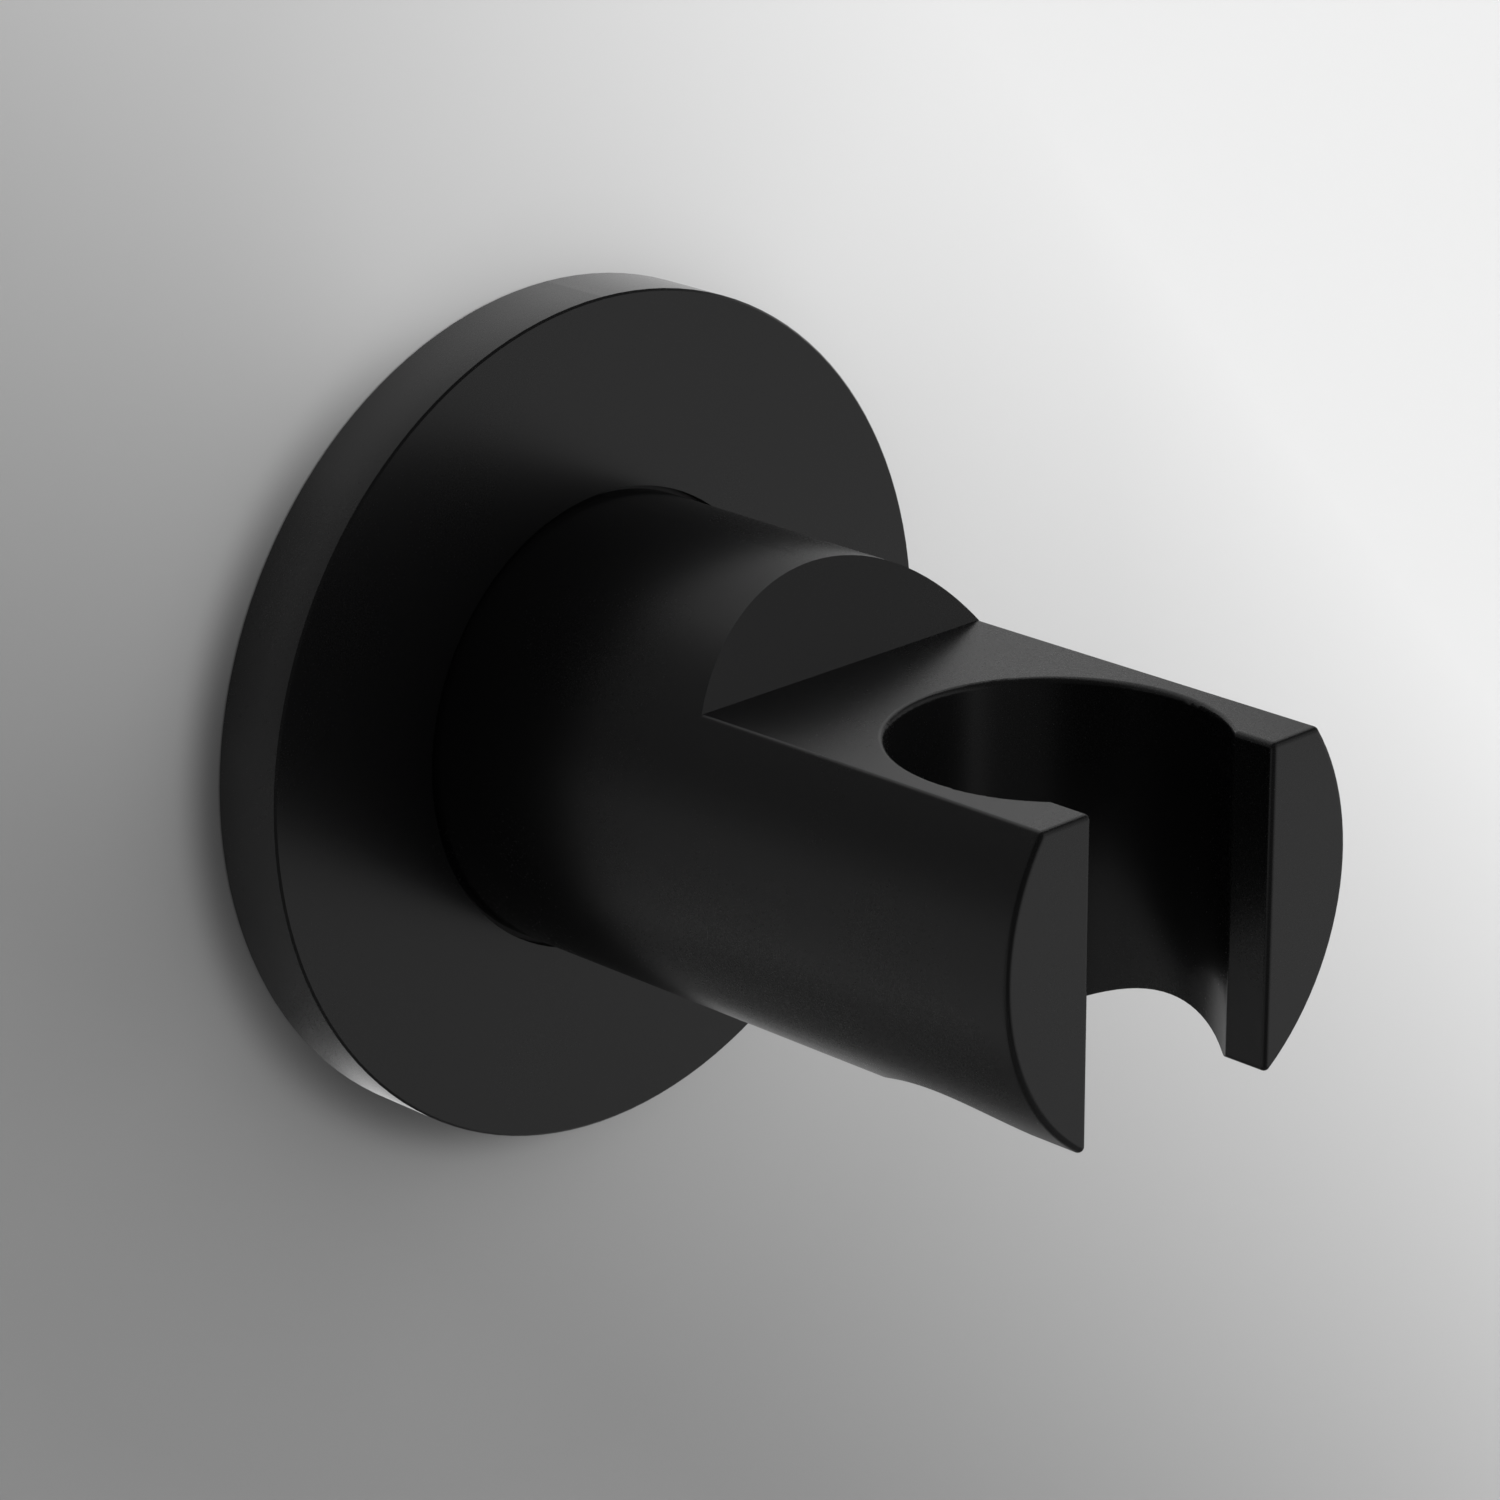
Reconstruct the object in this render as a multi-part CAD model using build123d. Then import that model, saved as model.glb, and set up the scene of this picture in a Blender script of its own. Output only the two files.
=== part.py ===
from build123d import *
import os
from math import radians, tan

# Hand shower holder: a round barrel on a thin wall rose, with an upright cup and a hose slot at its front.
# X runs to the right, Y into the wall and Z up. The origin lies on the wall, on the barrel's axis,
# so all that stands in front of the wall has a negative Y. A "reach" is a distance out from the wall.
# All sizes are in millimetres, and angles in degrees.

# Barrel and what is milled into its front half
cup_diameter = 22.2
cup_wall = 4.9               # what is left of the barrel beside the cup, at the axis
cup_setback = 10.45          # from the prongs' front faces back to the cup's upright axis
slot_shoulder = 2.6          # the cup stands out this far past the slot, on each side
projection = 57.8            # reach of the prongs' front faces
flat_drop = 6.6              # the milled flat lies this far below the barrel's top
step_reach = 28.2            # reach of the step's foot, where it meets the flat
step_lean = 23.5             # the step leans this far back towards the wall from upright
edge_round = 0.4             # round on the milled edges of the front half
back_edge_bevel = 0.5        # bevel round the barrel's back end

# Wall rose
rose_diameter = 60.0
rose_thickness = 5.75
rose_gap = 0.37              # the dark gap between the barrel and the rose, on the radius
rose_hollow_depth = 3.0      # the hollow behind the rose, which covers the flange
rose_rim_width = 3.0         # the ring that lies on the wall
rose_front_bevel = 0.15
rose_back_bevel = 0.1        # on the outer edge against the wall

# Mounting boss: flange and spigot in one piece
flange_thickness = 2.5
flange_gap = 1.0             # between the flange's rim and the rose's hollow
spigot_diameter = 18.0
spigot_length = 15.0
spigot_bevel = 0.8
socket_clearance = 0.05      # on the radius, between the spigot and the barrel's socket
socket_end_gap = 1.0         # between the spigot's end and the floor of the socket
notch_depth = 1.5            # a flat-floored notch milled across the spigot's underside
notch_width = 5.6
notch_reach = 12.0           # reach of the notch's middle

# Grub screw, from below through the barrel into the notch
grub_diameter = 5.0
grub_sink = 2.45             # its outer end lies this deep in the barrel's underside
grub_point_diameter = 3.4    # the flat end that presses on the notch's floor
grub_key_width = 2.5         # across the flats of its hexagon socket
grub_key_depth = 2.5
grub_rim_bevel = 0.4
grub_mouth_depth = 0.6       # the bevelled mouth of its hole starts this deep in the barrel's underside
grub_mouth_bevel = 0.4
thread_clearance = 0.05      # on the radius; the thread itself isn't cut
point_clearance = 0.05       # between the flat end and the notch's floor

# Wall screws
screw_edge_distance = 5.25   # from a screw's axis to the flange's rim
screw_diameter = 4.0
screw_neck_diameter = 3.6    # the plain neck that passes through the flange
screw_head_diameter = 8.0
screw_length = 35.0          # how far a screw stands out behind the wall's face
screw_point_length = 4.0
screw_tip_diameter = 0.8
screw_hole_clearance = 0.45  # on the radius, round the neck
screw_head_clearance = 0.1   # on the radius, round the countersunk head
drive_span = 4.4             # the cross recess in the head, from end to end
drive_width = 0.9
drive_depth = 1.6

# Rubber ring between the barrel and the rose
ring_groove_depth = 1.1
ring_groove_width = 1.7
ring_groove_reach = 4.15     # reach of the groove's middle
ring_width = 1.4             # along the barrel
ring_fit_gap = 0.02          # the squeezed ring just clears the groove's floor and the rose's hole

# Radii and places that follow from the sizes above
cup_radius = cup_diameter / 2
cup_reach = projection - cup_setback
slot_width = cup_diameter - 2 * slot_shoulder
barrel_radius = cup_radius + cup_wall
flat_height = barrel_radius - flat_drop
spigot_radius = spigot_diameter / 2
socket_radius = spigot_radius + socket_clearance
socket_floor_reach = flange_thickness + spigot_length + socket_end_gap
spigot_end_reach = flange_thickness + spigot_length
notch_floor_height = -(spigot_radius - notch_depth)
rose_radius = rose_diameter / 2
rose_hole_radius = barrel_radius + rose_gap
rose_hollow_radius = rose_radius - rose_rim_width
flange_radius = rose_hollow_radius - flange_gap
screw_height = flange_radius - screw_edge_distance
screw_hole_radius = screw_neck_diameter / 2 + screw_hole_clearance
screw_head_radius = screw_head_diameter / 2
countersink_radius = screw_head_radius + screw_head_clearance
ring_groove_radius = barrel_radius - ring_groove_depth
overrun = 1.0                # how far a cut runs past the face that it opens


def turned(outline):
    """A piece turned about the barrel's axis, from (radius, reach) corners. Its seam lies on top."""
    corners = [(-reach, radius) for radius, reach in outline]
    return revolve(Plane.YZ * make_face(Polyline(*corners, close=True)), Axis.Y)


def upright_turned(outline):
    """A piece turned about the Z axis, from (radius, height) corners."""
    return revolve(Plane.XZ * make_face(Polyline(*outline, close=True)), Axis.Z)


def step_reach_at(height):
    """How far out the leaning step face lies at this height above the barrel's axis."""
    return step_reach - (height - flat_height) * tan(radians(step_lean))


def barrel_blank():
    """The barrel as it leaves the lathe, with the groove for the rubber ring and a bevelled back end."""
    groove_near = ring_groove_reach - ring_groove_width / 2
    groove_far = ring_groove_reach + ring_groove_width / 2
    return turned(
        [
            (0, flange_thickness),
            (barrel_radius - back_edge_bevel, flange_thickness),
            (barrel_radius, flange_thickness + back_edge_bevel),
            (barrel_radius, groove_near),
            (ring_groove_radius, groove_near),
            (ring_groove_radius, groove_far),
            (barrel_radius, groove_far),
            (barrel_radius, projection),
            (0, projection),
        ]
    )


def step_cut():
    """What is milled off above the flat, in front of the leaning step face."""
    top = barrel_radius + overrun
    side = Polyline(
        (-step_reach, flat_height),
        (-step_reach_at(top), top),
        (-projection - overrun, top),
        (-projection - overrun, flat_height),
        close=True,
    )
    return extrude(Plane.YZ * make_face(side), amount=top, both=True)


def cup_and_slot_cut():
    """The upright cup, right through the barrel, and the slot that opens it to the front."""
    slot_length = cup_setback + overrun
    outline = Circle(cup_radius)
    outline += Pos(0, -slot_length / 2) * Rectangle(slot_width, slot_length)
    return extrude(Pos(0, -cup_reach) * outline, amount=barrel_radius + overrun, both=True)


def socket_cut():
    """The blind socket in the barrel's back that takes the spigot."""
    return turned(
        [
            (0, flange_thickness - overrun),
            (socket_radius, flange_thickness - overrun),
            (socket_radius, socket_floor_reach),
            (0, socket_floor_reach),
        ]
    )


def grub_hole_cut():
    """The hole from below that takes the grub screw, with a bevelled mouth."""
    hole_radius = grub_diameter / 2 + thread_clearance
    mouth_radius = hole_radius + grub_mouth_bevel
    hole = upright_turned(
        [
            (0, 0),
            (hole_radius, 0),
            (hole_radius, -(barrel_radius - grub_mouth_depth)),
            (mouth_radius, -(barrel_radius - grub_mouth_depth + grub_mouth_bevel)),
            (mouth_radius, -(barrel_radius + overrun)),
            (0, -(barrel_radius + overrun)),
        ]
    )
    return Pos(0, -notch_reach, 0) * hole


def milled_edges(piece):
    """The rounded edges of the front half: those of the flat, the slot, the prongs and the cup's rim.

    The step's own edges stay sharp, and so does the curved edge where the cup breaks out below.
    """
    front_half = piece.edges().filter_by(lambda edge: -edge.center().Y > step_reach + edge_round)
    return front_half - front_half.filter_by(GeomType.BSPLINE)


def make_holder_body():
    """The barrel with its flat, leaning step, cup, slot and prongs, all one piece."""
    body = barrel_blank() - step_cut() - cup_and_slot_cut()
    body = fillet(milled_edges(body), edge_round)
    return body - socket_cut() - grub_hole_cut()


def make_wall_rose():
    """The cover disc, hollow at the back, with a hole that the barrel passes through."""
    return turned(
        [
            (rose_hole_radius, rose_thickness),
            (rose_radius - rose_front_bevel, rose_thickness),
            (rose_radius, rose_thickness - rose_front_bevel),
            (rose_radius, rose_back_bevel),
            (rose_radius - rose_back_bevel, 0),
            (rose_hollow_radius, 0),
            (rose_hollow_radius, rose_hollow_depth),
            (rose_hole_radius, rose_hollow_depth),
        ]
    )


def screw_places():
    """The two places of the wall screws, one above and one below the barrel's axis."""
    return [Pos(0, 0, screw_height), Pos(0, 0, -screw_height)]


def make_mounting_boss():
    """The flange with its two countersunk holes, and the spigot with its locking notch."""
    boss = turned(
        [
            (0, 0),
            (flange_radius, 0),
            (flange_radius, flange_thickness),
            (spigot_radius, flange_thickness),
            (spigot_radius, spigot_end_reach - spigot_bevel),
            (spigot_radius - spigot_bevel, spigot_end_reach),
            (0, spigot_end_reach),
        ]
    )
    countersunk_hole = turned(
        [
            (0, -overrun),
            (screw_hole_radius, -overrun),
            (screw_hole_radius, flange_thickness - (countersink_radius - screw_hole_radius)),
            (countersink_radius, flange_thickness),
            (countersink_radius, flange_thickness + overrun),
            (0, flange_thickness + overrun),
        ]
    )
    for place in screw_places():
        boss -= place * countersunk_hole
    notch = Box(spigot_diameter, notch_width, notch_depth, align=(Align.CENTER, Align.CENTER, Align.MAX))
    return boss - Pos(0, -notch_reach, notch_floor_height) * notch


def make_wall_screws():
    """Two countersunk wall screws, flush in the flange, with a cross recess."""
    neck_radius = screw_neck_diameter / 2
    thread_radius = screw_diameter / 2
    blank = turned(
        [
            (0, flange_thickness),
            (screw_head_radius, flange_thickness),
            (neck_radius, flange_thickness - (screw_head_radius - neck_radius)),
            (neck_radius, 0),
            (thread_radius, 0),
            (thread_radius, -(screw_length - screw_point_length)),
            (screw_tip_diameter / 2, -screw_length),
            (0, -screw_length),
        ]
    )
    cross = Rectangle(drive_span, drive_width) + Rectangle(drive_width, drive_span)
    head_face = Plane((0, -flange_thickness, 0), z_dir=(0, 1, 0))
    screw = blank - extrude(head_face * cross, amount=drive_depth)
    return Compound([place * screw for place in screw_places()])


def make_grub_screw():
    """The headless screw that locks the barrel: hexagon socket at its outer end, flat end inside."""
    thread_radius = grub_diameter / 2
    point_radius = grub_point_diameter / 2
    point_bevel = thread_radius - point_radius
    point_height = notch_floor_height - point_clearance
    outer_height = -(barrel_radius - grub_sink)
    grub_length = point_height - outer_height
    blank = upright_turned(
        [
            (0, 0),
            (thread_radius - grub_rim_bevel, 0),
            (thread_radius, grub_rim_bevel),
            (thread_radius, grub_length - point_bevel),
            (point_radius, grub_length),
            (0, grub_length),
        ]
    )
    key_socket = extrude(RegularPolygon(grub_key_width / 2, 6, major_radius=False), amount=grub_key_depth)
    return Pos(0, -notch_reach, outer_height) * (blank - key_socket)


def make_rose_ring():
    """The rubber ring, squeezed between the groove's floor and the rose's hole."""
    inner = ring_groove_radius + ring_fit_gap
    outer = rose_hole_radius - ring_fit_gap
    near = ring_groove_reach - ring_width / 2
    far = ring_groove_reach + ring_width / 2
    return turned(
        [
            (inner, near),
            (inner, far),
            (outer, far),
            (outer, near),
        ]
    )


pieces = {
    "holder_body": make_holder_body,
    "wall_rose": make_wall_rose,
    "mounting_boss": make_mounting_boss,
    "wall_screws": make_wall_screws,
    "grub_screw": make_grub_screw,
    "rose_ring": make_rose_ring,
}

os.makedirs("parts", exist_ok=True)
for name, make in pieces.items():
    export_step(make(), f"parts/{name}.step")
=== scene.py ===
from math import cos, floor, pi, radians, sin

import bmesh
import bpy
from bpy.props import FloatProperty, FloatVectorProperty, IntProperty, PointerProperty
from mathutils import Matrix, Vector
from mathutils.geometry import tessellate_polygon


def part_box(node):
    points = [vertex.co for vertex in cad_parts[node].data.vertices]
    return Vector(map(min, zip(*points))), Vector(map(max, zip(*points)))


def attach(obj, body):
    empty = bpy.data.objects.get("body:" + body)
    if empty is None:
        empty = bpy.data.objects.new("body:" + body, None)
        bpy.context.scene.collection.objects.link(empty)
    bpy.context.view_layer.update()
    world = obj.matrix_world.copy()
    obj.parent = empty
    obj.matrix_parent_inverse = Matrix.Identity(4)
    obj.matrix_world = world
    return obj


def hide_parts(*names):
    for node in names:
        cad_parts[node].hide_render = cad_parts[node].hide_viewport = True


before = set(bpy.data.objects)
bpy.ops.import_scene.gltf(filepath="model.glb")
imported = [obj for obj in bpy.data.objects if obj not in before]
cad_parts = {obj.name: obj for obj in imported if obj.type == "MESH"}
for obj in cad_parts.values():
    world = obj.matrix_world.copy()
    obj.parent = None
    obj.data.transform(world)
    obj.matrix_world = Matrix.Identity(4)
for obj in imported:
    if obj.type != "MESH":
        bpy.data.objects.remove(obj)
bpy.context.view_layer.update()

bl_info = {
    "name": "Hand shower holder",
    "version": (1, 0, 0),
    "blender": (4, 5, 0),
    "location": "View3D > Sidebar > Holder",
    "description": "Finishes, wall screws, wall, light and camera for a wall-mounted hand shower holder",
    "category": "Object",
}


# Sizes and colours that a user may change

class CoatSettings(bpy.types.PropertyGroup):
    """The matt black coating of the holder and the rose."""

    colour: FloatVectorProperty(
        name="Coat colour", description="Colour of the coating", subtype="COLOR",
        size=3, min=0.0, max=1.0, default=(0.0021, 0.0021, 0.0022))
    roughness: FloatProperty(
        name="Coat roughness", description="How matt the coating is", subtype="FACTOR",
        min=0.0, max=1.0, default=0.27)
    grain_size: FloatProperty(
        name="Grain size", description="Width of one grain of the sprayed coating", subtype="DISTANCE",
        unit="LENGTH", min=0.00002, max=0.002, default=0.00016)
    grain_height: FloatProperty(
        name="Grain height", description="How far the grain stands up", subtype="DISTANCE",
        unit="LENGTH", min=0.0, max=0.0001, default=0.0000004)


class HardwareSettings(bpy.types.PropertyGroup):
    """The metal and rubber pieces that hold the holder on the wall."""

    brass_colour: FloatVectorProperty(
        name="Brass colour", description="Colour of the turned mounting boss", subtype="COLOR",
        size=3, min=0.0, max=1.0, default=(0.78, 0.6, 0.32))
    steel_colour: FloatVectorProperty(
        name="Steel colour", description="Colour of the wall screws", subtype="COLOR",
        size=3, min=0.0, max=1.0, default=(0.62, 0.62, 0.62))
    black_steel_colour: FloatVectorProperty(
        name="Blackened steel colour", description="Colour of the grub screw", subtype="COLOR",
        size=3, min=0.0, max=1.0, default=(0.05, 0.05, 0.055))
    rubber_colour: FloatVectorProperty(
        name="Rubber colour", description="Colour of the ring behind the rose", subtype="COLOR",
        size=3, min=0.0, max=1.0, default=(0.03, 0.03, 0.03))
    thread_pitch: FloatProperty(
        name="Thread pitch", description="Distance between two turns of the wall screws' thread",
        subtype="DISTANCE", unit="LENGTH", min=0.0005, max=0.005, default=0.0018)
    thread_radius: FloatProperty(
        name="Thread radius", description="Radius over the thread's crest", subtype="DISTANCE",
        unit="LENGTH", min=0.001, max=0.004, default=0.002)
    core_radius: FloatProperty(
        name="Core radius", description="Radius of the screw between the turns of its thread",
        subtype="DISTANCE", unit="LENGTH", min=0.0005, max=0.0035, default=0.00135)
    neck_radius: FloatProperty(
        name="Neck radius", description="Radius of the plain neck under the head", subtype="DISTANCE",
        unit="LENGTH", min=0.0005, max=0.0035, default=0.0018)
    segments: IntProperty(
        name="Segments", description="Corners round a screw", min=16, max=96, default=48)


class StageSettings(bpy.types.PropertyGroup):
    """The wall behind the holder, the floor, the light and the camera."""

    # Wall greys: painted light, dark away from the light and pale towards it at the upper right
    wall_dark: FloatVectorProperty(
        name="Wall, dark end", description="Wall colour below and to the left of the holder",
        subtype="COLOR", size=3, min=0.0, max=1.0, default=(0.236, 0.236, 0.236))
    wall_pale: FloatVectorProperty(
        name="Wall, pale end", description="Wall colour above and to the right of the holder",
        subtype="COLOR", size=3, min=0.0, max=1.0, default=(0.735, 0.735, 0.735))
    wall_glow: FloatProperty(
        name="Wall glow", description="Part of the wall's own colour that is seen without the lamps",
        subtype="FACTOR", min=0.0, max=1.0, default=0.1)
    # Painted shadow: the wall is darkened at the rose's lower left rim, seen by the camera only
    rim_shade: FloatProperty(
        name="Shade at the rose",
        description="How much darker the wall is right at the rose's lower left rim",
        subtype="FACTOR", min=0.0, max=1.0, default=0.48)
    # Painted light: the wall is made paler close round the rose, seen by the camera only
    rim_light: FloatProperty(
        name="Light round the rose", description="How much paler the wall is close round the rose",
        subtype="FACTOR", min=0.0, max=1.0, default=0.12)
    # Painted reflections: the coat mirrors the wall with other greys, shades and lights than the camera
    # sees
    mirrored_dark: FloatProperty(
        name="Mirrored wall, dark end",
        description="Place on the wall's greys that the coat mirrors as darkest",
        subtype="FACTOR", min=0.0, max=1.0, default=0.2)
    mirrored_pale: FloatProperty(
        name="Mirrored wall, pale end",
        description="Place on the wall's greys that the coat mirrors as palest",
        subtype="FACTOR", min=0.0, max=1.0, default=0.72)
    mirrored_shade: FloatProperty(
        name="Mirrored shade",
        description="How much darker the coat mirrors the wall below the rose and at its upper left",
        subtype="FACTOR", min=0.0, max=1.0, default=0.52)
    mirrored_halo: FloatProperty(
        name="Mirrored light beside the rose",
        description="Extra light of the wall just beside the rose, which only the coat mirrors",
        min=0.0, max=10.0, default=1.5)
    mirrored_below: FloatProperty(
        name="Mirrored light below the rose",
        description="Extra light of the wall just below the rose, which only the coat mirrors",
        min=0.0, max=10.0, default=3.3)
    mirrored_lower_right: FloatProperty(
        name="Mirrored light, lower right",
        description="Extra light of the wall at the rose's lower right, which only the coat mirrors",
        min=0.0, max=10.0, default=0.8)
    floor_colour: FloatVectorProperty(
        name="Floor colour", description="Colour of the floor far below", subtype="COLOR",
        size=3, min=0.0, max=1.0, default=(0.8, 0.8, 0.8))
    # Painted reflection: the coat mirrors a darker floor than the camera sees
    mirrored_floor: FloatVectorProperty(
        name="Mirrored floor", description="Colour of the floor as the coat mirrors it", subtype="COLOR",
        size=3, min=0.0, max=1.0, default=(0.15, 0.15, 0.15))
    low_light: FloatProperty(
        name="Mirrored room, low", description="Strength of the mirrored light from below",
        min=0.0, max=2.0, default=0.54)
    high_light: FloatProperty(
        name="Mirrored room, high", description="Strength of the mirrored light from above",
        min=0.0, max=2.0, default=0.33)
    left_shade: FloatProperty(
        name="Mirrored room, left",
        description="Part of the mirrored light that is left away from the front right",
        subtype="FACTOR", min=0.0, max=1.0, default=0.17)
    far_left_light: FloatProperty(
        name="Mirrored room, far left",
        description="Part of the mirrored light added at the far left, below the horizon",
        subtype="FACTOR", min=0.0, max=1.0, default=0.42)
    matt_low_light: FloatProperty(
        name="Matt light, low left",
        description="Strength of the light from below and the left that falls on matt surfaces",
        min=0.0, max=2.0, default=0.2)
    matt_high_light: FloatProperty(
        name="Matt light, high right",
        description="Strength of the light from above and the right that falls on matt surfaces",
        min=0.0, max=2.0, default=1.25)
    backdrop_light: FloatProperty(
        name="Backdrop", description="How bright the empty room looks behind the holder",
        min=0.0, max=2.0, default=0.85)
    key_power: FloatProperty(
        name="Key light", description="Power of the large soft light above and to the right",
        subtype="POWER", unit="POWER", min=0.0, max=500.0, default=6.2)
    lens: FloatProperty(
        name="Lens", description="Focal length on a 36 mm sensor", subtype="DISTANCE_CAMERA",
        unit="CAMERA", min=20.0, max=300.0, default=133.589)


# Shader node helpers

def add_node(tree, kind, **values):
    """A node of this kind, with its properties set."""
    node = tree.nodes.new(kind)
    for name, value in values.items():
        setattr(node, name, value)
    return node


def set_inputs(node, **values):
    """Sets a node's unlinked inputs. An underscore in a name stands for a space."""
    for name, value in values.items():
        node.inputs[name.replace("_", " ")].default_value = value


def feed(tree, socket, value):
    """Links a socket to another node's output, or sets it to a number."""
    if isinstance(value, bpy.types.NodeSocket):
        tree.links.new(value, socket)
    else:
        socket.default_value = value


def math_node(tree, operation, *values):
    """The result of a Math node whose inputs are sockets or numbers."""
    node = add_node(tree, "ShaderNodeMath", operation=operation)
    for socket, value in zip(node.inputs, values):
        feed(tree, socket, value)
    return node.outputs[0]


def plus(tree, first, second):
    """The sum of two sockets or numbers."""
    return math_node(tree, "ADD", first, second)


def minus(tree, first, second):
    """The first less the second, each a socket or a number."""
    return math_node(tree, "SUBTRACT", first, second)


def times(tree, first, second):
    """The product of two sockets or numbers."""
    return math_node(tree, "MULTIPLY", first, second)


def mix_values(tree, factor, first, second):
    """A value that runs from the first to the second, each a socket or a number."""
    node = add_node(tree, "ShaderNodeMix")
    for socket, value in zip((node.inputs[0], *node.inputs[2:4]), (factor, first, second)):
        feed(tree, socket, value)
    return node.outputs[0]


def mix_colours(tree, factor, first, second):
    """A colour that runs from the first to the second, each as red, green and blue."""
    node = add_node(tree, "ShaderNodeMix", data_type="RGBA")
    tree.links.new(factor, node.inputs[0])
    node.inputs[6].default_value = (*first, 1.0)
    node.inputs[7].default_value = (*second, 1.0)
    return node.outputs[2]


def map_value(tree, value, start, end, low=0.0, high=1.0, smooth=False):
    """Maps a value's span onto another, and holds it at the ends."""
    node = add_node(tree, "ShaderNodeMapRange", interpolation_type="SMOOTHSTEP" if smooth else "LINEAR")
    set_inputs(node, From_Min=start, From_Max=end, To_Min=low, To_Max=high)
    tree.links.new(value, node.inputs["Value"])
    return node.outputs[0]


def vector_node(tree, operation, vector):
    """A Vector Math node that works on this vector."""
    node = add_node(tree, "ShaderNodeVectorMath", operation=operation)
    tree.links.new(vector, node.inputs[0])
    return node


def along(tree, vector, direction):
    """How far a vector reaches in a direction."""
    node = vector_node(tree, "DOT_PRODUCT", vector)
    node.inputs[1].default_value = direction
    return node.outputs["Value"]


def scaled(tree, vector, factor):
    """A vector or colour times a factor."""
    node = vector_node(tree, "SCALE", vector)
    tree.links.new(factor, node.inputs["Scale"])
    return node.outputs[0]


def noise(tree, vector, scale, detail=2.0):
    """A noise texture's value at this scale, which is a socket or a number."""
    node = add_node(tree, "ShaderNodeTexNoise")
    node.inputs["Detail"].default_value = detail
    tree.links.new(vector, node.inputs["Vector"])
    feed(tree, node.inputs["Scale"], scale)
    return node.outputs["Fac"]


def new_group(name, inputs, outputs):
    """An empty shader node group with these named sockets, as (tree, input node, output node)."""
    tree = bpy.data.node_groups.new(name, "ShaderNodeTree")
    for socket_name, kind, default in inputs:
        socket = tree.interface.new_socket(name=socket_name, in_out="INPUT", socket_type=kind)
        socket.default_value = default
    for socket_name, kind in outputs:
        tree.interface.new_socket(name=socket_name, in_out="OUTPUT", socket_type=kind)
    return tree, tree.nodes.new("NodeGroupInput"), tree.nodes.new("NodeGroupOutput")


# Effects that finishes are made of

clouds_per_metre = 70.0
grain_detail = 3.0
colour_per_roughness = 2.0
lathe_detail = 3.0
lathe_roughness_swing = 0.3


def make_surface_grain():
    """Grain of a sprayed or moulded surface: a slightly uneven colour, roughness and height."""
    tree, given, result = new_group(
        "surface_grain",
        [
            ("Colour", "NodeSocketColor", (0.5, 0.5, 0.5, 1.0)),
            ("Roughness", "NodeSocketFloat", 0.5),
            ("Grain Size", "NodeSocketFloat", 0.0002),
            ("Unevenness", "NodeSocketFloat", 0.1),
        ],
        [("Colour", "NodeSocketColor"), ("Roughness", "NodeSocketFloat"), ("Height", "NodeSocketFloat")],
    )
    place = tree.nodes.new("ShaderNodeTexCoord").outputs["Object"]
    grains_per_metre = math_node(tree, "DIVIDE", 1.0, given.outputs["Grain Size"])
    grain = noise(tree, place, grains_per_metre, grain_detail)
    cloud = noise(tree, place, clouds_per_metre)
    swing = plus(tree, minus(tree, cloud, 0.5), minus(tree, grain, 0.5))
    uneven = times(tree, swing, given.outputs["Unevenness"])
    brightness = plus(tree, 1.0, times(tree, uneven, colour_per_roughness))
    tree.links.new(scaled(tree, given.outputs["Colour"], brightness), result.inputs["Colour"])
    tree.links.new(plus(tree, given.outputs["Roughness"], uneven), result.inputs["Roughness"])
    tree.links.new(grain, result.inputs["Height"])
    return tree


def make_turned_marks():
    """Fine rings that a lathe leaves round the Y axis: roughness and height."""
    tree, given, result = new_group(
        "turned_marks",
        [("Spacing", "NodeSocketFloat", 0.0002), ("Roughness", "NodeSocketFloat", 0.3)],
        [("Roughness", "NodeSocketFloat"), ("Height", "NodeSocketFloat")],
    )
    split = tree.nodes.new("ShaderNodeSeparateXYZ")
    tree.links.new(tree.nodes.new("ShaderNodeTexCoord").outputs["Object"], split.inputs[0])
    radius_squared = plus(
        tree,
        math_node(tree, "POWER", split.outputs["X"], 2.0),
        math_node(tree, "POWER", split.outputs["Z"], 2.0))
    tool_path = plus(tree, math_node(tree, "SQRT", radius_squared), split.outputs["Y"])
    rings = add_node(tree, "ShaderNodeTexNoise", noise_dimensions="1D")
    set_inputs(rings, Scale=1.0, Detail=lathe_detail)
    tree.links.new(math_node(tree, "DIVIDE", tool_path, given.outputs["Spacing"]), rings.inputs["W"])
    swing = times(tree, minus(tree, rings.outputs["Fac"], 0.5), lathe_roughness_swing)
    tree.links.new(plus(tree, given.outputs["Roughness"], swing), result.inputs["Roughness"])
    tree.links.new(rings.outputs["Fac"], result.inputs["Height"])
    return tree


def effect(tree, make, **values):
    """Places a shared effect in a material, built once, with its own values."""
    name = make.__name__.removeprefix("make_")
    node = add_node(tree, "ShaderNodeGroup", node_tree=bpy.data.node_groups.get(name) or make())
    set_inputs(node, **values)
    return node


# Finishes

def new_finish(name, **values):
    """A material with a Principled shader whose plain values are set, as (material, tree, shader)."""
    material = bpy.data.materials.new(name)
    material.use_nodes = True
    tree = material.node_tree
    shader = next(node for node in tree.nodes if node.type == "BSDF_PRINCIPLED")
    set_inputs(shader, **values)
    return material, tree, shader


def add_bump(tree, shader, height, distance):
    """Feeds a height over the surface, in metres at most `distance`, to the shader's normal."""
    bump = add_node(tree, "ShaderNodeBump")
    set_inputs(bump, Strength=1.0, Distance=distance)
    tree.links.new(height, bump.inputs["Height"])
    tree.links.new(bump.outputs["Normal"], shader.inputs["Normal"])


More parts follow.
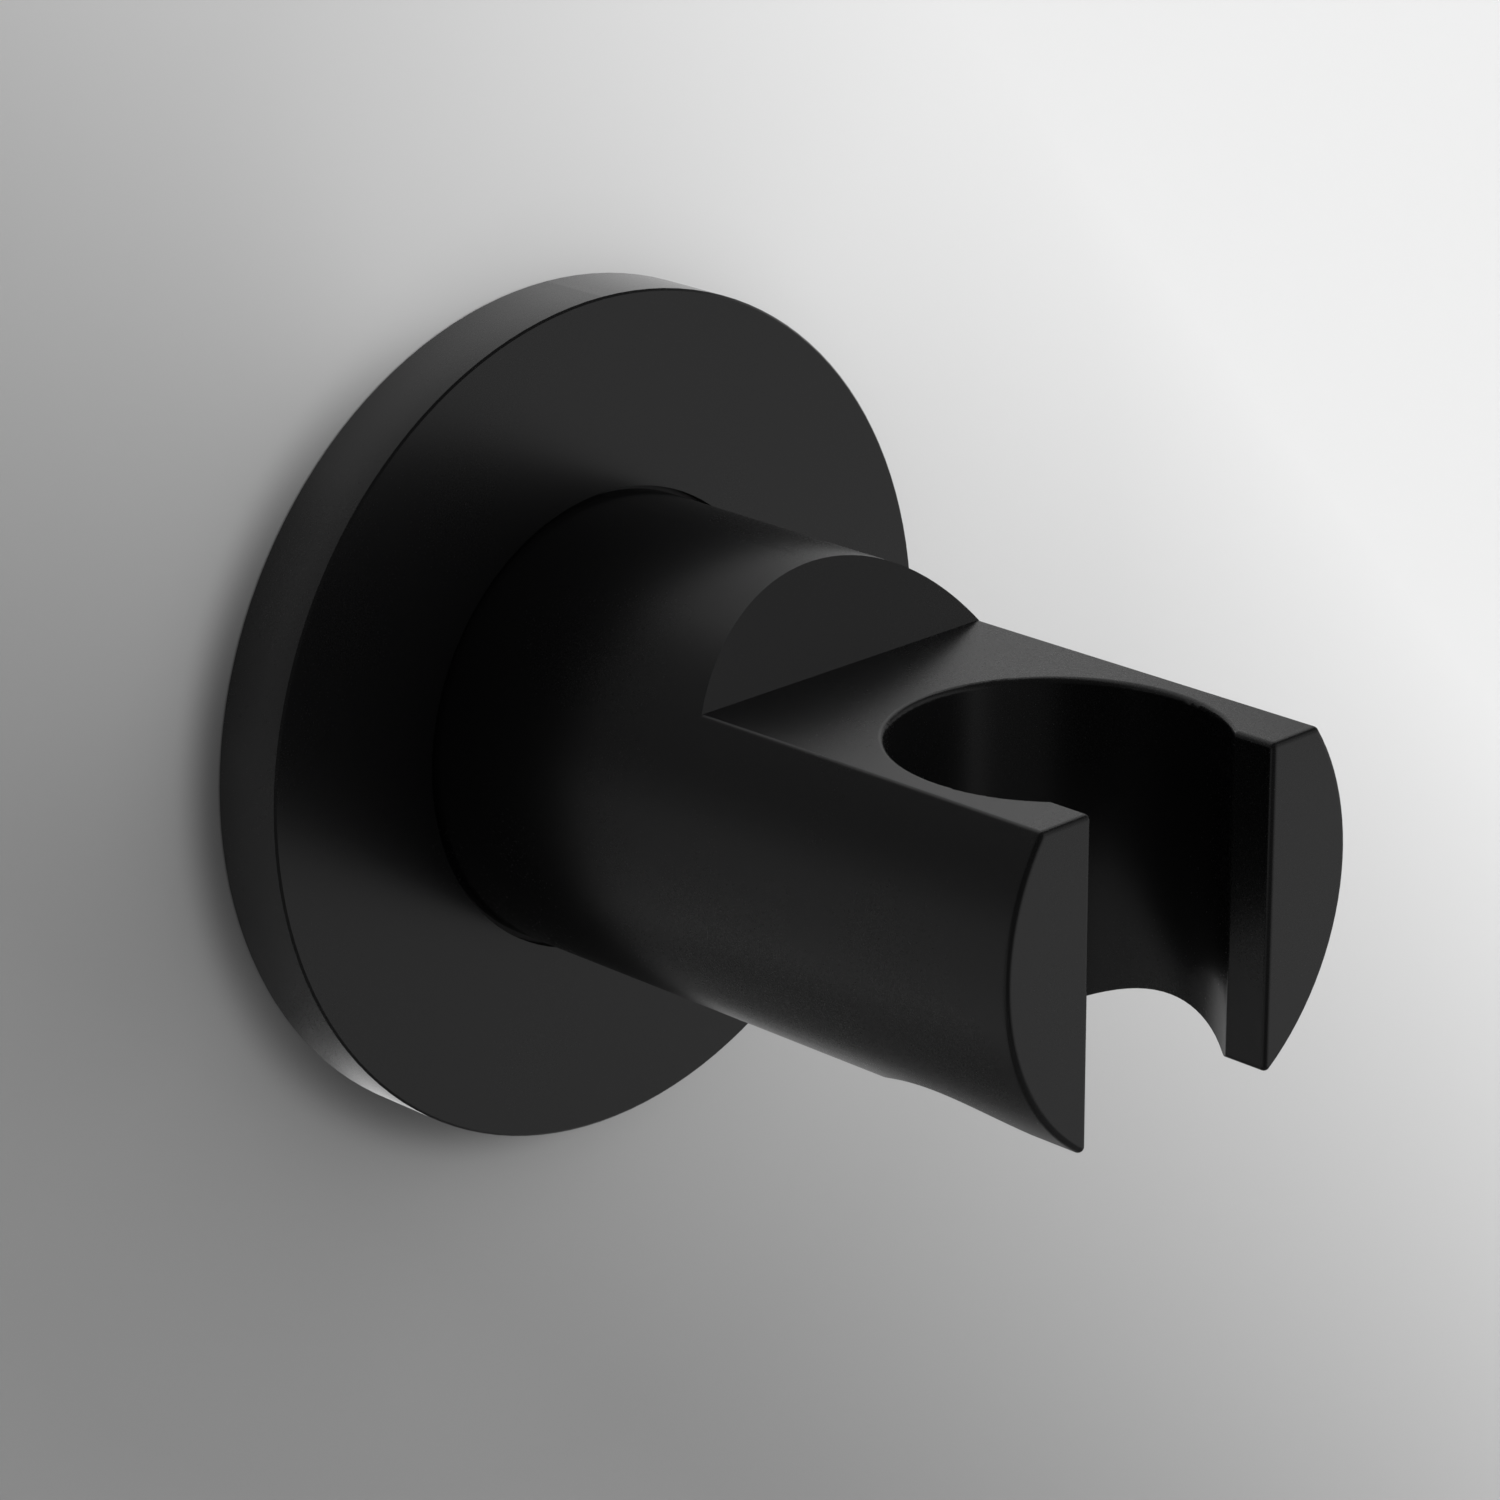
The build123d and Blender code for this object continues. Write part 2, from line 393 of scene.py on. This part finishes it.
def grained_finish(name, colour, roughness, grain_size, grain_height, unevenness, **values):
    """A sprayed, blackened or moulded finish with a fine grain."""
    material, tree, shader = new_finish(name, **values)
    grain = effect(tree, make_surface_grain, Colour=(*colour, 1.0), Roughness=roughness,
                   Grain_Size=grain_size, Unevenness=unevenness)
    tree.links.new(grain.outputs["Colour"], shader.inputs["Base Color"])
    tree.links.new(grain.outputs["Roughness"], shader.inputs["Roughness"])
    add_bump(tree, shader, grain.outputs["Height"], grain_height)
    return material


def turned_finish(name, colour, roughness, spacing, mark_height):
    """Bare metal with fine lathe marks."""
    material, tree, shader = new_finish(name, Base_Color=(*colour, 1.0), Metallic=1.0)
    marks = effect(tree, make_turned_marks, Roughness=roughness, Spacing=spacing)
    tree.links.new(marks.outputs["Roughness"], shader.inputs["Roughness"])
    add_bump(tree, shader, marks.outputs["Height"], mark_height)
    return material


def black_coat():
    """The coating that the holder and the rose share."""
    coat = bpy.context.scene.holder_coat
    return bpy.data.materials.get("matt_black_coat") or grained_finish(
        "matt_black_coat", coat.colour, coat.roughness, coat.grain_size, coat.grain_height,
        unevenness=0.02, IOR=1.48)


def dress(node_name, material):
    """Gives a solid its finish through its object's material slots."""
    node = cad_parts[node_name]
    if not node.material_slots:
        raise RuntimeError(f"{node_name} has no material slot")
    for slot in node.material_slots:
        slot.material = material


# Wall screws with a real thread. Their heads, their length and their places come from the solids

screws_low, screws_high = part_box("wall_screws")
head_radius = screws_high.x
head_reach = -screws_low.y
screw_reach = screws_high.y
screw_height = screws_high.z - head_radius
head_edge = 0.0001
recess_span, recess_width, recess_depth = 0.0044, 0.0009, 0.0016
recess_taper = 0.75
thread_start = 0.0012
thread_run_in = 0.001
point_length = 0.004
rows_per_turn = 12
sharp_edge = radians(35.0)

# The core's and the crest's radius at the very tip as parts of the whole radius, and half a ridge's width
# as a part of the pitch
core_at_tip = 0.12
crest_at_tip = 0.2
half_ridge = 0.2


def held(value):
    """A value held between 0 and 1."""
    return min(1.0, max(0.0, value))


def shank_radius(depth, angle, hardware):
    """The screw's radius at this depth behind the wall's face and this angle round it."""
    to_tip = screw_reach - depth
    taper = held(to_tip / point_length)
    core = hardware.core_radius * (core_at_tip + (1.0 - core_at_tip) * taper)
    crest = hardware.thread_radius * (crest_at_tip + (1.0 - crest_at_tip) * taper)
    turn = depth / hardware.thread_pitch - angle / (2 * pi)
    from_crest = abs(turn - floor(turn) - 0.5)
    ridge = max(0.0, 1.0 - from_crest / half_ridge)
    run_in = held((depth - thread_start) / thread_run_in) * min(1.0, to_tip / thread_run_in)
    threaded = core + (crest - core) * ridge * run_in
    neck_part = 1.0 - held(depth / thread_start)
    return threaded + (hardware.neck_radius - threaded) * neck_part


def cross_outline(span, width):
    """The twelve corners of a cross, as (x, z) pairs, anticlockwise."""
    s, w = span / 2, width / 2
    return [(s, w), (w, w), (w, s), (-w, s), (-w, w), (-s, w),
            (-s, -w), (-w, -w), (-w, -s), (w, -s), (w, -w), (s, -w)]


def join_rows(mesh, near, far):
    """Adds a closed band of faces between two rows with as many corners."""
    for i in range(len(near)):
        j = (i + 1) % len(near)
        mesh.faces.new((near[i], near[j], far[j], far[i]))


def fill_flat(mesh, loops):
    """Fills the outline that the first loop gives, less the holes that the others give."""
    corners = [corner for loop in loops for corner in loop]
    flat = [[Vector((corner.co.x, corner.co.z, 0.0)) for corner in loop] for loop in loops]
    for triangle in tessellate_polygon(flat):
        mesh.faces.new([corners[i] for i in triangle])


def add_screw(mesh, hardware, centre_height):
    """Adds one countersunk wall screw with a thread and a cross recess to a bmesh."""
    count = hardware.segments
    angles = [2 * pi * i / count for i in range(count)]
    centre = Vector((0.0, 0.0, centre_height))

    def row(radii, depth):
        """Corners round the screw at one depth, with a radius for each angle."""
        return [mesh.verts.new(centre + Vector((radius * cos(a), depth, radius * sin(a))))
                for radius, a in zip(radii, angles)]

    def cross(span, width, depth):
        """Corners of the recess at one depth."""
        return [mesh.verts.new(centre + Vector((x, depth, z))) for x, z in cross_outline(span, width)]

    cone_end = head_radius - hardware.neck_radius - head_reach
    rows = [row([head_radius - head_edge] * count, -head_reach),
            row([head_radius] * count, head_edge - head_reach),
            row([hardware.neck_radius] * count, cone_end)]
    steps = int(screw_reach * rows_per_turn / hardware.thread_pitch)
    for i in range(steps + 1):
        depth = screw_reach * i / steps
        rows.append(row([shank_radius(depth, a, hardware) for a in angles], depth))
    for near, far in zip(rows, rows[1:]):
        join_rows(mesh, near, far)
    mesh.faces.new(rows[-1])

    mouth = cross(recess_span, recess_width, -head_reach)
    bottom = cross(recess_span * recess_taper, recess_width * recess_taper, recess_depth - head_reach)
    join_rows(mesh, mouth, bottom)
    fill_flat(mesh, [rows[0], mouth])
    fill_flat(mesh, [bottom])


def finish_mesh(mesh, name):
    """Turns a bmesh into a linked object, smooth apart from its sharp edges."""
    bmesh.ops.recalc_face_normals(mesh, faces=mesh.faces)
    for face in mesh.faces:
        face.smooth = True
    for edge in mesh.edges:
        edge.smooth = edge.calc_face_angle(0.0) < sharp_edge
    data = bpy.data.meshes.new(name)
    mesh.to_mesh(data)
    mesh.free()
    piece = bpy.data.objects.new(name, data)
    bpy.context.scene.collection.objects.link(piece)
    return piece


# Wall. Its greys run from dark to pale between two places along one direction, a painted light that is
# paler towards the light at the upper right

to_pale_side = (0.7286, 0.0, 0.6849)
to_lower_left = (-0.8, 0.0, -0.6)
to_lower_right = (0.7071, 0.0, -0.7071)
downwards = (0.0, 0.0, -1.0)
grey_span = (-0.0357, 0.0582)
grey_curve = 1.35
# Where the painted shadow at the rim fades in along the lower left
lower_left_span = (-0.01, 0.02)
# Spans of the painted reflections: darker mirrored greys at the lower right, and the mirrored light just
# below the rose
lower_right_span = (0.022, 0.04)
low_span = (0.0205, 0.0265)
least_low = 0.2

# Rings round the rose: the two distances from its rim between which an effect fades in or out
rose_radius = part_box("wall_rose")[1].x
# Rings of the painted shadow at the rim and of the painted light round it, which the camera sees
rim_shade_ring = (0.0, 0.0041)
rim_light_ring = (0.006, 0.028)
# Rings of the painted shades and lights that only the coat mirrors
far_shade_ring = (0.0035, 0.007)
near_shade_ring = (0.0025, 0.004)
halo_ring = (0.002, 0.008)
below_ring = (0.001, 0.0045)
lower_right_ring = (0.025, 0.045)

# Zones round the rose: a direction from its middle, and the cosines of the angles from that direction
# where the zone starts and where it is full
# Zones where the painted light round the rose is dimmed
dim_left = ((-0.94, 0.0, 0.342), 0.65, 0.97)
dim_right = ((0.866, 0.0, -0.5), 0.2, 0.8)
# Zones of the painted shades and lights that only the coat mirrors
shaded_below = ((-0.208, 0.0, -0.978), 0.82, 0.99)
shaded_above = ((-0.788, 0.0, 0.616), 0.72, 0.97)
shaded_left = ((-0.891, 0.0, 0.454), 0.93, 0.99)
lit_below = ((-0.5, 0.0, -0.866), 0.89, 0.985)
lit_lower_right = ((0.423, 0.0, -0.906), 0.9, 0.98)

# How much of the painted light round the rose the two dim zones take away, and the painted near shade's
# part of the whole
dim_left_amount, dim_right_amount = 1.5, 0.55
near_shade_part = 0.5


def zone(tree, outwards, which, amount):
    """An amount that rises smoothly from the start of a zone to where it is full."""
    direction, start, full = which
    return map_value(tree, along(tree, outwards, direction), start, full, 0.0, amount, smooth=True)


def seen_shade(tree, position, outwards, from_rim, stage):
    """How much darker the camera sees the wall: a painted shadow at the lower left rim, less a painted
    light round it.
    """
    at_rim = map_value(tree, from_rim, *rim_shade_ring, stage.rim_shade, 0.0, smooth=True)
    at_lower_left = map_value(tree, along(tree, position, to_lower_left), *lower_left_span)
    light = map_value(tree, from_rim, *rim_light_ring, stage.rim_light, 0.0)
    dimmed = plus(
        tree,
        zone(tree, outwards, dim_left, dim_left_amount),
        zone(tree, outwards, dim_right, dim_right_amount))
    return minus(tree, times(tree, at_rim, at_lower_left), times(tree, light, minus(tree, 1.0, dimmed)))


def mirrored_shade(tree, outwards, from_rim, stage):
    """Painted shade in the reflection: how much darker the coat mirrors the wall below the rose and on its
    upper left.
    """
    further_out = times(
        tree,
        map_value(tree, from_rim, *far_shade_ring),
        plus(
            tree,
            zone(tree, outwards, shaded_below, stage.mirrored_shade),
            zone(tree, outwards, shaded_above, stage.mirrored_shade)))
    close_by = times(
        tree,
        map_value(tree, from_rim, *near_shade_ring, 1.0, 0.0),
        zone(tree, outwards, shaded_left, near_shade_part * stage.mirrored_shade))
    return plus(tree, further_out, close_by)


def mirrored_light(tree, position, outwards, from_rim, halo_light, stage):
    """Painted reflection: extra light that the wall gives off only for the coat's mirror rays, beside the
    rose, below it and at its lower right.
    """
    halo = times(tree, map_value(tree, from_rim, *halo_ring, 1.0, 0.0), halo_light)
    below = times(
        tree,
        map_value(tree, from_rim, *below_ring, 1.0, 0.0),
        times(
            tree,
            zone(tree, outwards, lit_below, stage.mirrored_below),
            map_value(tree, along(tree, position, downwards), *low_span, least_low, 1.0, smooth=True)))
    lower_right = times(
        tree,
        map_value(tree, from_rim, *lower_right_ring, 1.0, 0.0),
        zone(tree, outwards, lit_lower_right, stage.mirrored_lower_right))
    return plus(tree, plus(tree, halo, below), lower_right)


def see_through_from_behind(tree, shader):
    """Lets a stage plane vanish for whoever looks at its back."""
    mix = add_node(tree, "ShaderNodeMixShader")
    clear = add_node(tree, "ShaderNodeBsdfTransparent")
    geometry = add_node(tree, "ShaderNodeNewGeometry")
    output = next(node for node in tree.nodes if node.type == "OUTPUT_MATERIAL")
    tree.links.new(geometry.outputs["Backfacing"], mix.inputs["Fac"])
    tree.links.new(shader.outputs[0], mix.inputs[1])
    tree.links.new(clear.outputs[0], mix.inputs[2])
    tree.links.new(mix.outputs[0], output.inputs["Surface"])


def wall_paint_and_painted_light(stage):
    """Smooth wall paint whose grey runs from dark at the lower left to pale at the upper right, as painted
    light.

    The camera sees a painted shadow at the rose's lower left rim and a painted light round it. The coat
    mirrors the wall with less contrast, and with painted shades and glows of its own round the rose, as
    painted reflections.
    """
    material, tree, shader = new_finish("wall_paint_and_painted_light", Roughness=0.9, Specular_IOR_Level=0.1)
    position = add_node(tree, "ShaderNodeNewGeometry").outputs["Position"]
    from_rim = minus(tree, vector_node(tree, "LENGTH", position).outputs["Value"], rose_radius)
    outwards = vector_node(tree, "NORMALIZE", position).outputs[0]
    path = add_node(tree, "ShaderNodeLightPath")
    seen, mirrored = path.outputs["Is Camera Ray"], path.outputs["Is Glossy Ray"]

    # Painted light: the grey rises towards the light at the upper right
    even = map_value(tree, along(tree, position, to_pale_side), *grey_span)
    grey = math_node(tree, "POWER", even, grey_curve)
    # Painted reflection: the coat mirrors flatter greys, darker at the lower right
    flatter_grey = map_value(tree, grey, 0.0, 1.0, stage.mirrored_dark, stage.mirrored_pale)
    not_lower_right = map_value(tree, along(tree, position, to_lower_right), *lower_right_span, 1.0, 0.0)
    paint = mix_colours(
        tree, mix_values(tree, mirrored, grey, times(tree, flatter_grey, not_lower_right)),
        stage.wall_dark, stage.wall_pale)
    # Painted shadow and light for the camera, and painted shade in the coat's reflection
    shade = plus(
        tree,
        times(tree, seen_shade(tree, position, outwards, from_rim, stage), seen),
        times(tree, mirrored_shade(tree, outwards, from_rim, stage), mirrored))
    shaded = scaled(tree, paint, minus(tree, 1.0, shade))
    tree.links.new(shaded, shader.inputs["Base Color"])
    tree.links.new(shaded, shader.inputs["Emission Color"])

    # Painted reflection: the wall glows only for the coat's mirror rays
    halo_light = times(tree, times(tree, grey, stage.mirrored_halo), not_lower_right)
    light = mirrored_light(tree, position, outwards, from_rim, halo_light, stage)
    glow = plus(tree, times(tree, seen, stage.wall_glow), times(tree, mirrored, light))
    tree.links.new(glow, shader.inputs["Emission Strength"])
    see_through_from_behind(tree, shader)
    return material


# Planes of the stage, light and camera. The wall lies a hair behind the backs of the rose and the flange

wall_y = 0.00005
stage_reach = 1.6
floor_z = -1.2
rose_middle = Vector((0.0, 0.0, 0.0))
key_place = Vector((0.62, -0.88, 0.5))
key_size = 1.1
camera_place = Vector((-0.245001, -0.268745, 0.131892))
camera_azimuth = radians(-44.5)
camera_elevation = radians(20.493)
camera_roll = radians(-0.366)
sensor_width = 36.0
clip_start = 0.01

# Directions in the room, and how far a direction reaches along each where the light starts to change and
# where it stops
upwards = (0.0, 0.0, 1.0)
to_front_right = (0.68, -0.73, 0.0)
to_far_left = (-0.93, -0.05, -0.36)
to_high_right = (1.0, 0.0, 1.0)
upwards_span = (-0.3, 0.35)
front_right_span = (0.62, 0.95)
far_left_span = (0.85, 0.97)
high_right_span = (-0.8, 0.8)


def add_plane(name, corners, material):
    """A four-cornered plane of the stage."""
    data = bpy.data.meshes.new(name)
    data.from_pydata(corners, [], [(0, 1, 2, 3)])
    data.materials.append(material)
    made = bpy.data.objects.new(name, data)
    bpy.context.scene.collection.objects.link(made)


def floor_paint(stage):
    """Plain pale floor, which the coat mirrors darker, as a painted reflection."""
    material, tree, shader = new_finish("floor_paint", Roughness=0.8)
    path = add_node(tree, "ShaderNodeLightPath")
    paint = mix_colours(tree, path.outputs["Is Glossy Ray"], stage.floor_colour, stage.mirrored_floor)
    tree.links.new(paint, shader.inputs["Base Color"])
    see_through_from_behind(tree, shader)
    return material


def add_key_light(stage):
    """A large square soft light above and to the right, which the coat doesn't mirror."""
    light = bpy.data.lights.new("key_light", "AREA")
    light.shape = "SQUARE"
    light.size = key_size
    light.energy = stage.key_power
    made = bpy.data.objects.new("key_light", light)
    made.location = key_place
    made.rotation_euler = (rose_middle - key_place).to_track_quat("-Z", "Y").to_euler()
    made.visible_glossy = False
    bpy.context.scene.collection.objects.link(made)


def add_camera(stage):
    """The camera, with its place and its azimuth, elevation and roll from the fitted view."""
    back = Vector((
        sin(camera_azimuth) * cos(camera_elevation),
        -cos(camera_azimuth) * cos(camera_elevation),
        sin(camera_elevation)))
    level = Vector((cos(camera_azimuth), sin(camera_azimuth), 0.0))
    upright = back.cross(level)
    right = level * cos(camera_roll) + upright * sin(camera_roll)
    up = upright * cos(camera_roll) - level * sin(camera_roll)
    camera = bpy.data.cameras.new("camera")
    camera.sensor_width = sensor_width
    camera.lens = stage.lens
    camera.clip_start = clip_start
    made = bpy.data.objects.new("camera", camera)
    turn = Matrix((right, up, back)).transposed().to_4x4()
    made.matrix_world = Matrix.Translation(camera_place) @ turn
    bpy.context.scene.collection.objects.link(made)
    bpy.context.scene.camera = made


def set_room_light(stage):
    """Soft light of the room: what the coat mirrors, what falls on matt surfaces and a plain backdrop.

    The coat mirrors most light from the front right, more from below than from above, and a little from
    the far left. Matt surfaces get most light from the upper right.
    """
    world = bpy.data.worlds.new("room")
    world.use_nodes = True
    tree = world.node_tree
    background = next(node for node in tree.nodes if node.type == "BACKGROUND")
    background.inputs["Color"].default_value = (1.0, 1.0, 1.0, 1.0)
    direction = tree.nodes.new("ShaderNodeTexCoord").outputs["Generated"]
    path = tree.nodes.new("ShaderNodeLightPath")

    def towards(place, span, low, high):
        """A strength that changes smoothly towards a place in the room."""
        return map_value(tree, along(tree, direction, place), *span, low, high, smooth=True)

    side = plus(
        tree,
        towards(to_front_right, front_right_span, stage.left_shade, 1.0),
        towards(to_far_left, far_left_span, 0.0, stage.far_left_light))
    mirrored = times(tree, towards(upwards, upwards_span, stage.low_light, stage.high_light), side)
    matt = towards(to_high_right, high_right_span, stage.matt_low_light, stage.matt_high_light)
    lit = mix_values(tree, path.outputs["Is Glossy Ray"], matt, mirrored)
    seen = mix_values(tree, path.outputs["Is Camera Ray"], lit, stage.backdrop_light)
    tree.links.new(seen, background.inputs["Strength"])
    bpy.context.scene.world = world


# Operators

class HolderBodyOperator(bpy.types.Operator):
    """Coat the turned and milled holder body."""

    bl_idname = "holder.coat_body"
    bl_label = "Coat the holder body"

    def execute(self, context):
        dress("holder_body", black_coat())
        return {"FINISHED"}


class WallRoseOperator(bpy.types.Operator):
    """Coat the wall rose."""

    bl_idname = "holder.coat_rose"
    bl_label = "Coat the wall rose"

    def execute(self, context):
        dress("wall_rose", black_coat())
        return {"FINISHED"}


class MountingBossOperator(bpy.types.Operator):
    """Give the mounting boss its turned brass."""

    bl_idname = "holder.finish_boss"
    bl_label = "Finish the mounting boss"

    def execute(self, context):
        dress("mounting_boss", turned_finish(
            "turned_brass", context.scene.holder_hardware.brass_colour,
            roughness=0.3, spacing=0.00025, mark_height=0.0000015))
        return {"FINISHED"}


class WallScrewsOperator(bpy.types.Operator):
    """Build the two wall screws with their threads and cross recesses."""

    bl_idname = "holder.build_wall_screws"
    bl_label = "Build the wall screws"

    def execute(self, context):
        hardware = context.scene.holder_hardware
        mesh = bmesh.new()
        for height in (screw_height, -screw_height):
            add_screw(mesh, hardware, height)
        screws = finish_mesh(mesh, "threaded_wall_screws")
        screws.data.materials.append(grained_finish(
            "plain_steel", hardware.steel_colour,
            roughness=0.28, grain_size=0.0003, grain_height=0.000002, unevenness=0.12, Metallic=1.0))
        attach(screws, "root")
        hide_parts("wall_screws")
        return {"FINISHED"}


class GrubScrewOperator(bpy.types.Operator):
    """Give the grub screw its blackened steel."""

    bl_idname = "holder.finish_grub_screw"
    bl_label = "Finish the grub screw"

    def execute(self, context):
        dress("grub_screw", grained_finish(
            "blackened_steel", context.scene.holder_hardware.black_steel_colour,
            roughness=0.38, grain_size=0.0002, grain_height=0.000003, unevenness=0.15, Metallic=1.0))
        return {"FINISHED"}


class RoseRingOperator(bpy.types.Operator):
    """Give the ring behind the rose its rubber."""

    bl_idname = "holder.finish_rose_ring"
    bl_label = "Finish the rubber ring"

    def execute(self, context):
        dress("rose_ring", grained_finish(
            "black_rubber", context.scene.holder_hardware.rubber_colour,
            roughness=0.6, grain_size=0.0003, grain_height=0.000004, unevenness=0.1))
        return {"FINISHED"}


class HolderStageOperator(bpy.types.Operator):
    """Set up the wall, the floor, the light and the camera."""

    bl_idname = "holder.set_stage"
    bl_label = "Set the stage"

    def execute(self, context):
        stage = context.scene.holder_stage
        left, right = -stage_reach, stage_reach
        add_plane(
            "wall",
            [(left, wall_y, floor_z), (right, wall_y, floor_z), (right, wall_y, stage_reach),
             (left, wall_y, stage_reach)],
            wall_paint_and_painted_light(stage))
        add_plane(
            "floor",
            [(left, -stage_reach, floor_z), (right, -stage_reach, floor_z),
             (right, stage_reach, floor_z), (left, stage_reach, floor_z)],
            floor_paint(stage))
        set_room_light(stage)
        add_key_light(stage)
        add_camera(stage)
        context.scene.view_settings.view_transform = "Standard"
        return {"FINISHED"}


class HolderPanel(bpy.types.Panel):
    """The holder's steps in the 3D view's sidebar."""

    bl_idname = "VIEW3D_PT_holder"
    bl_label = "Hand shower holder"
    bl_space_type = "VIEW_3D"
    bl_region_type = "UI"
    bl_category = "Holder"

    def draw(self, context):
        for operator in operators:
            self.layout.operator(operator.bl_idname)


settings = {
    "holder_coat": CoatSettings,
    "holder_hardware": HardwareSettings,
    "holder_stage": StageSettings,
}
operators = (
    HolderBodyOperator,
    WallRoseOperator,
    MountingBossOperator,
    WallScrewsOperator,
    GrubScrewOperator,
    RoseRingOperator,
    HolderStageOperator,
)


def register():
    """Registers the settings, the operators and the panel."""
    for made in (*settings.values(), *operators, HolderPanel):
        bpy.utils.register_class(made)
    for name, group in settings.items():
        setattr(bpy.types.Scene, name, PointerProperty(type=group))


def unregister():
    """Takes back what register did."""
    for name in settings:
        delattr(bpy.types.Scene, name)
    for made in (HolderPanel, *reversed(operators), *reversed(settings.values())):
        bpy.utils.unregister_class(made)


def main():
    """Runs every operator in order."""
    register()
    for operator in operators:
        section, name = operator.bl_idname.split(".")
        getattr(getattr(bpy.ops, section), name)()


if __name__ == "__main__":
    main()
